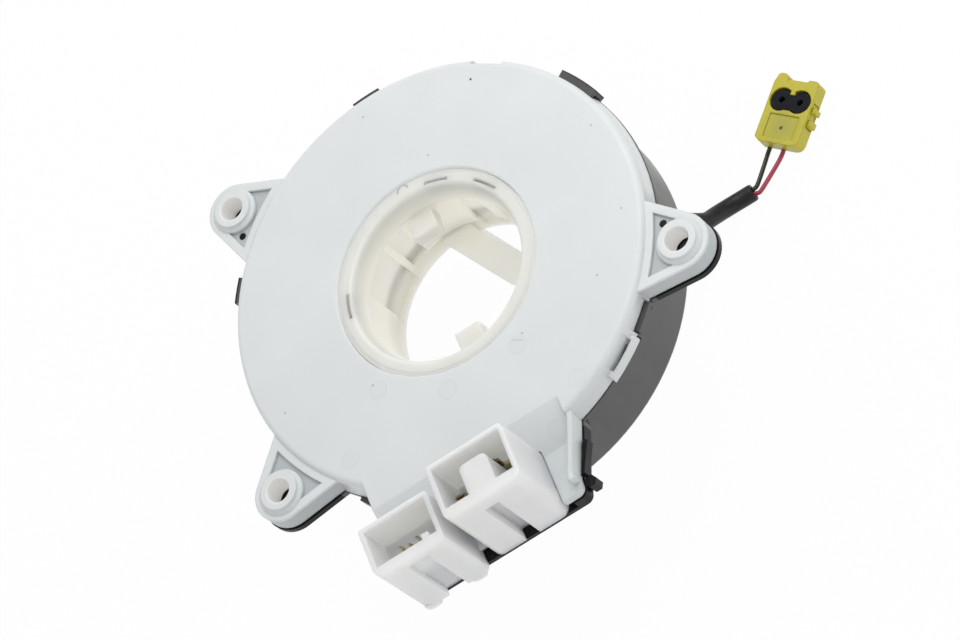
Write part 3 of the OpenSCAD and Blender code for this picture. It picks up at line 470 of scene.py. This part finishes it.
blade, shader = plastic("power_blade", (0.24, 0.20, 0.12), 0.32, Metallic=1.0)
foot = between(shader, own_xyz(shader)[2], 1, 0, foot_top)
wear = grain(shader, 600, 4)
dark = mixed(shader, between(shader, wear, 0, 1, (0.4, 0.62)), (0.30, 0.25, 0.15),
             (0.14, 0.11, 0.07))
link(shader, mixed(shader, foot, dark, (0.74, 0.66, 0.42)), "Base Color")
link(shader, between(shader, wear, 0.24, 0.46), "Roughness")
dress(blade, "socket_b_terminals")


# Column sockets
# One white moulding with both sockets, clipped into the cover's bracket. It is a purer
# white than the cover, with a soft satin skin and a milky depth.
socket_white, shader = plastic("socket_white", (0.74, 0.745, 0.74), 0.4,
                               Subsurface_Weight=1.0, Subsurface_Scale=5 * MM)
shader.inputs["Subsurface Radius"].default_value = (1.0, 0.95, 0.85)
cloud = grain(shader, 70, 3)
link(shader, mixed(shader, between(shader, cloud, 0, 1), (0.76, 0.765, 0.76),
                   (0.80, 0.805, 0.80)), "Base Color")
link(shader, between(shader, cloud, 0.34, 0.46), "Roughness")
skin(shader, grain(shader, 1100, 2), 0.012 * MM, 0.5 * MM)
dress(socket_white, "connector_block")


# Rear cover
# A milky white moulding, about 2 mm thick, that lets some light into it and is held by
# the case's clips and pins. Its face has round ejector marks, specks and a scratch.
ejector_marks = [(11.3, -29.6), (-23.6, -19.6), (-8.1, -29.8), (20.9, -45.5), (-36.1, -31.7),
                 (11.1, -52.9), (9.1, -62.9)]
ejector_r = 2.2 * MM
specks = [(48, 10.6), (9.4, 28.7), (-1.6, 48.5), (46.3, -13.2), (34.8, -25.1), (-46.8, -11.1),
          (-24.3, -17.7), (13.3, -27.5)]
black_speck = (26.26, 40.47)
scratch_from, scratch_to = (10.5, -27.6), (12.7, -29.1)
scratch_places = [(scratch_from[0] + (scratch_to[0] - scratch_from[0]) * k / 6,
                   scratch_from[1] + (scratch_to[1] - scratch_from[1]) * k / 6) for k in range(7)]
ear_middles = [(-55, -28.5), (55, -28.5), (-40.7, 46.8)]
pocket_reach, pocket_floor = (14 * MM, 19 * MM), (-2.25 * MM, -1.9 * MM)
recess_y, recess_z = (-56 * MM, -44 * MM), (-5 * MM, 0)
hole_edge = (3.05 * MM, 3.35 * MM)
# The gap round the sleeve, and the painted glow on both sides of it, an emission that stands
# in for light through the thin white plastic
gap_from, gap_to, gap_glow = 25.72 * MM, 26.16 * MM, 0.16


def ring_round(shader, points, radius, width):
    """1 on a ring round each point, and 0 away from it."""
    off = maths(shader, "ABSOLUTE", maths(shader, "SUBTRACT", nearest(shader, points), radius))
    return between(shader, off, 1, 0, (0.3 * width, width))


cover_white, shader = plastic("cover_white", (0.70, 0.73, 0.735), 0.4,
                              Subsurface_Weight=0.25, Subsurface_Scale=2.5 * MM)
shader.inputs["Subsurface Radius"].default_value = (0.9, 1.0, 1.0)
cloud = grain(shader, 28, 2)
milk = mixed(shader, between(shader, cloud, 0, 1), (0.685, 0.712, 0.716), (0.715, 0.742, 0.746))
rings = ring_round(shader, ejector_marks, ejector_r, 0.22 * MM)
discs = between(shader, nearest(shader, ejector_marks), 0.05, 0, (ejector_r * 0.9, ejector_r))
faint = maths(shader, "MAXIMUM", maths(shader, "MULTIPLY", rings, 0.16), discs)
milk = mixed(shader, faint, milk, (0.42, 0.46, 0.47))
dirt = between(shader, nearest(shader, specks), 0.6, 0, (0.10 * MM, 0.38 * MM))
milk = mixed(shader, dirt, milk, (0.22, 0.20, 0.17))
milk = mixed(shader, between(shader, nearest(shader, [black_speck]), 1, 0, (0.2 * MM, 0.4 * MM)),
             milk, (0.03, 0.03, 0.03))
scratch = between(shader, nearest(shader, scratch_places), 0.5, 0, (0.08 * MM, 0.26 * MM))
milk = mixed(shader, scratch, milk, (0.32, 0.32, 0.31))
# Painted shade: the ear pockets, and the recess that falls toward the sockets, are painted a
# darker blue grey where shade falls in them
where = own_xyz(shader)
pocket_shade = maths(shader, "MULTIPLY", between(shader, nearest(shader, ear_middles), 0.62, 0,
                                           pocket_reach),
               between(shader, where[2], 1, 0, pocket_floor))
recess_shade = maths(shader, "MULTIPLY", between(shader, where[1], 0.3, 0, recess_y),
               between(shader, where[2], 1, 0.3, recess_z))
shade = maths(shader, "MAXIMUM", pocket_shade, recess_shade)
milk = mixed(shader, shade, milk, (0.34, 0.37, 0.39))
# Painted light: the walls of the ear holes are painted a warmer, lighter white and glow
# faintly, in place of light passing through the thin plastic
hole_wall_glow = between(shader, nearest(shader, ear_middles), 1, 0, hole_edge)
milk = mixed(shader, hole_wall_glow, milk, (0.80, 0.79, 0.765))
link(shader, milk, "Base Color")
link(shader, between(shader, grain(shader, 120, 3), 0.34, 0.46), "Roughness")
skin(shader, maths(shader, "SUBTRACT", grain(shader, 1100, 2), rings), 0.012 * MM, 0.55 * MM)
# Painted light: a faint glow on the cover beside the gap round the sleeve and on the ear holes'
# walls
painted_gap_glow = between(shader, from_axis(shader), gap_glow, 0, (gap_to, gap_to + 0.05 * MM))
painted_glow = maths(shader, "MAXIMUM", painted_gap_glow, maths(shader, "MULTIPLY", hole_wall_glow, 0.1))
link(shader, painted_glow, "Emission Strength")
dress(cover_white, "rear_cover")


# Rear sleeve
# A pale cream moulding of a self-lubricating plastic. It drops into the bore from the
# column side and clips into the front rotor. The small moulded arch on its ring is drawn
# only as a thin dark line of painted shade.
arch_at, arch_r, arch_w = (0.3, 24.3), 1.4 * MM, 0.36 * MM
upper_half = ((arch_at[1] - 0.4) * MM, (arch_at[1] + 0.2) * MM)
below_ring = (-5.5 * MM, -2.5 * MM)
inner_wall = (20.2 * MM, 20.8 * MM)
sleeve_cream, shader = plastic("sleeve_cream", (0.73, 0.735, 0.70), 0.4,
                               Subsurface_Weight=1.0, Subsurface_Scale=5 * MM)
shader.inputs["Subsurface Radius"].default_value = (1.0, 1.0, 1.0)
cloud = grain(shader, 60, 3)
cream = mixed(shader, between(shader, cloud, 0, 1), (0.71, 0.715, 0.68), (0.75, 0.75, 0.715))
where = own_xyz(shader)
# Painted light: below the ring the sleeve is painted a warmer cream, for the warm light its walls
# pass
deep_painted_light = between(shader, where[2], 1, 0, below_ring)
cream = mixed(shader, deep_painted_light, cream, (0.73, 0.72, 0.675))
# Painted shade: the moulded arch is a thin dark line, with no relief
arch_shade = maths(shader, "MULTIPLY", ring_round(shader, [arch_at], arch_r, arch_w),
             between(shader, where[1], 0, 0.6, upper_half))
link(shader, mixed(shader, arch_shade, cream, (0.22, 0.22, 0.19)), "Base Color")
link(shader, between(shader, cloud, 0.34, 0.46), "Roughness")
skin(shader, grain(shader, 1000, 2), 0.012 * MM, 0.5 * MM)
# Painted light: a faint glow on the sleeve beside the gap round it
painted_gap_glow = between(shader, from_axis(shader), 0, gap_glow, (gap_from, gap_from + 0.06 * MM))
# Painted light: the inner wall deep in the bore glows faintly warm
inside_glow = maths(shader, "MULTIPLY", maths(shader, "MULTIPLY", deep_painted_light, 0.13),
               between(shader, from_axis(shader), 0, 1, inner_wall))
link(shader, maths(shader, "MAXIMUM", painted_gap_glow, inside_glow), "Emission Strength")
shader.inputs["Emission Color"].default_value = (1.0, 0.97, 0.90, 1)
dress(sleeve_cream, "rear_sleeve")


# Front rotor
# A thicker cream moulding with the spool, the long tongue, the drive post and seats for
# the socket and the lead. The clamps of the lead and of the cable's two ends are small
# mouldings of the same plastic, which is yellower than the sleeve's.
spool_wall, spool_end = (24.6 * MM, 24.9 * MM), (-21 * MM, -19 * MM)
rotor_cream, shader = plastic("rotor_cream", (0.86, 0.845, 0.76), 0.4,
                              Subsurface_Weight=1.0, Subsurface_Scale=5 * MM)
shader.inputs["Subsurface Radius"].default_value = (1.0, 1.0, 1.0)
cloud = grain(shader, 60, 3)
link(shader, mixed(shader, between(shader, cloud, 0, 1), (0.84, 0.825, 0.74),
                   (0.88, 0.865, 0.785)), "Base Color")
link(shader, between(shader, cloud, 0.28, 0.4), "Roughness")
skin(shader, grain(shader, 1000, 2), 0.012 * MM, 0.3 * MM)
# Painted light: the spool's wall, seen through the sleeve's windows, glows faintly warm, in
# place of the bench's light passing through it
spool_glow = maths(shader, "MULTIPLY", between(shader, from_axis(shader), 0.26, 0, spool_wall),
              between(shader, own_xyz(shader)[2], 0, 1, spool_end))
link(shader, spool_glow, "Emission Strength")
shader.inputs["Emission Color"].default_value = (1.0, 0.96, 0.88, 1)
dress(rotor_cream, "front_rotor", "lead_clamp", "inner_cable_clamp", "outer_cable_clamp")


# Front socket
# A cream tower for the switch lead in the wheel, glued to the hub. Its twelve pins are
# pointed square wire in two rows, set in its floor.
dress(rotor_cream, "front_socket")
socket_turn, socket_reach = radians(-150), 31.5 * MM
pins_low, pins_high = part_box("front_socket_pins")
grid_sizes = (("Rows", "Int"), ("Row Gap", "Float"), ("Across", "Int"), ("Across Gap", "Float"),
              ("Width", "Float"), ("Length", "Float"), ("Tip", "Float"), ("Middle", "Vector"),
              ("Turn", "Vector"))
tree, size = tree_of("pin_field", grid_sizes)
field = step(tree, "GeometryNodeMeshGrid", {"Vertices X": size["Rows"],
             "Vertices Y": size["Across"], "Size X": size["Row Gap"],
             "Size Y": size["Across Gap"]})
planted = step(tree, "GeometryNodeInstanceOnPoints", {0: field,
               "Instance": square_pin(tree, size), "Rotation": (pi, 0, 0)})
turned = step(tree, "GeometryNodeTransform", {0: planted, "Translation": size["Middle"],
              "Rotation": size["Turn"]})
wheel_pins = grown("wheel_pins", tree, turned, pin_brass, {
    "Rows": 2, "Row Gap": 3.6 * MM, "Across": 6, "Across Gap": 13 * MM, "Width": 0.64 * MM,
    "Length": pins_high.z - pins_low.z, "Tip": 0.9 * MM,
    "Middle": (socket_reach * cos(socket_turn), socket_reach * sin(socket_turn), pins_high.z),
    "Turn": (0, 0, socket_turn)})
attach(wheel_pins, "rotor")
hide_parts("front_socket_pins")


# Plug
# A bright yellow two-way housing with a lock of the same plastic in its side, a black
# insert pushed in from its face, and two brass contacts. Its panel is darker toward its
# middle, fading to a dull olive.
plug_middle, plug_turn = (80.6, 18.7), radians(45)
panel_fade = (0.6 * MM, 5.6 * MM)
panel_at = (plug_middle[0] - 3.9 * cos(plug_turn), plug_middle[1] - 3.9 * sin(plug_turn))
plug_yellow, shader = plastic("plug_yellow", (0.58, 0.52, 0.03), 0.34,
                              Subsurface_Weight=0.2, Subsurface_Scale=1.5 * MM)
shader.inputs["Subsurface Radius"].default_value = (1.0, 0.9, 0.3)
cloud = grain(shader, 120, 3)
shine = mixed(shader, between(shader, cloud, 0, 1), (0.49, 0.43, 0.014), (0.54, 0.48, 0.024))
# The panel is darker toward its middle, fading out over a few millimetres
darker_middle = between(shader, nearest(shader, [panel_at]), 0.7, 0, panel_fade)
link(shader, mixed(shader, darker_middle, shine, (0.33, 0.32, 0.05)), "Base Color")
link(shader, between(shader, cloud, 0.3, 0.42), "Roughness")
skin(shader, grain(shader, 900, 2), 0.015 * MM, 0.5 * MM)
dress(plug_yellow, "plug_housing", "plug_lock")
insert_black, shader = plastic("insert_black", (0.008, 0.009, 0.013), 0.5)
shader.inputs["Specular IOR Level"].default_value = 0.08
rub = grain(shader, 600, 3)
link(shader, mixed(shader, between(shader, rub, 0, 1), (0.006, 0.007, 0.010),
                   (0.014, 0.015, 0.020)), "Base Color")
link(shader, between(shader, rub, 0.34, 0.52), "Roughness")
skin(shader, grain(shader, 900, 2), 0.01 * MM, 0.2 * MM)
dress(insert_black, "plug_insert")


# Bench, light and background
# A plain pale light table under the part, which glows into the bore, a soft lamp above
# it, one in front, one on the right, and a pale surround.
floor_half = 4.0
bench_glow, bench_seen = 0.6, 0.97
ambient = 0.6
bench_mesh = bmesh.new()
bench_mesh.faces.new([bench_mesh.verts.new((x * floor_half, y * floor_half, cad_low.z))
                      for x, y in ((-1, -1), (1, -1), (1, 1), (-1, 1))])
bench = made_piece("bench", bench_mesh, smooth=False)
paper, shader = plastic("bench_paper", (0.90, 0.90, 0.90), 0.9)
seen = add(shader, "ShaderNodeLightPath")
direct = maths(shader, "MAXIMUM", seen.outputs["Is Camera Ray"], seen.outputs["Is Glossy Ray"])
direct = maths(shader, "MAXIMUM", direct, seen.outputs["Is Transmission Ray"])
share = between(shader, direct, bench_glow, bench_seen, (0, 1))
white = add(shader, "ShaderNodeEmission", {"Color": (1, 1, 1, 1), "Strength": 1.0})
blend = add(shader, "ShaderNodeMixShader", {0: share})
tree = shader.id_data
tree.links.new(shader.outputs[0], blend.inputs[1])
tree.links.new(white.outputs[0], blend.inputs[2])
tree.links.new(blend.outputs[0], tree.nodes["Material Output"].inputs["Surface"])
bench.data.materials.append(paper)

surround = bpy.data.worlds.new("surround")
scene.world = surround
surround.use_nodes = True
backdrop = surround.node_tree.nodes["Background"]
seen = surround.node_tree.nodes.new("ShaderNodeLightPath")
strength = surround.node_tree.nodes.new("ShaderNodeMapRange")
strength.inputs["To Min"].default_value = ambient
strength.inputs["To Max"].default_value = 1.0
surround.node_tree.links.new(seen.outputs["Is Camera Ray"], strength.inputs["Value"])
surround.node_tree.links.new(strength.outputs["Result"], backdrop.inputs["Strength"])
backdrop.inputs["Color"].default_value = (1, 1, 1, 1)


def soft_lamp(name, right, down, back, size, watts):
    """A square lamp, so many metres right of, below and in front of the part as the
    camera sees it, and aimed at the part."""
    lamp = bpy.data.objects.new(name, bpy.data.lights.new(name, "AREA"))
    lamp.data.shape = "SQUARE"
    lamp.data.size = size
    lamp.data.energy = watts
    away = right * view_right + down * view_down + back * view_back
    lamp.matrix_world = Matrix.Translation(away) @ away.to_track_quat("Z", "Y").to_matrix().to_4x4()
    scene.collection.objects.link(lamp)


soft_lamp("key", -0.12, -0.38, 0.24, 0.4, 1.25)
soft_lamp("front", -0.1, 0.2, 0.97, 0.7, 0.7)
soft_lamp("side", 1.0, 0.2, 0.4, 0.8, 3.0)
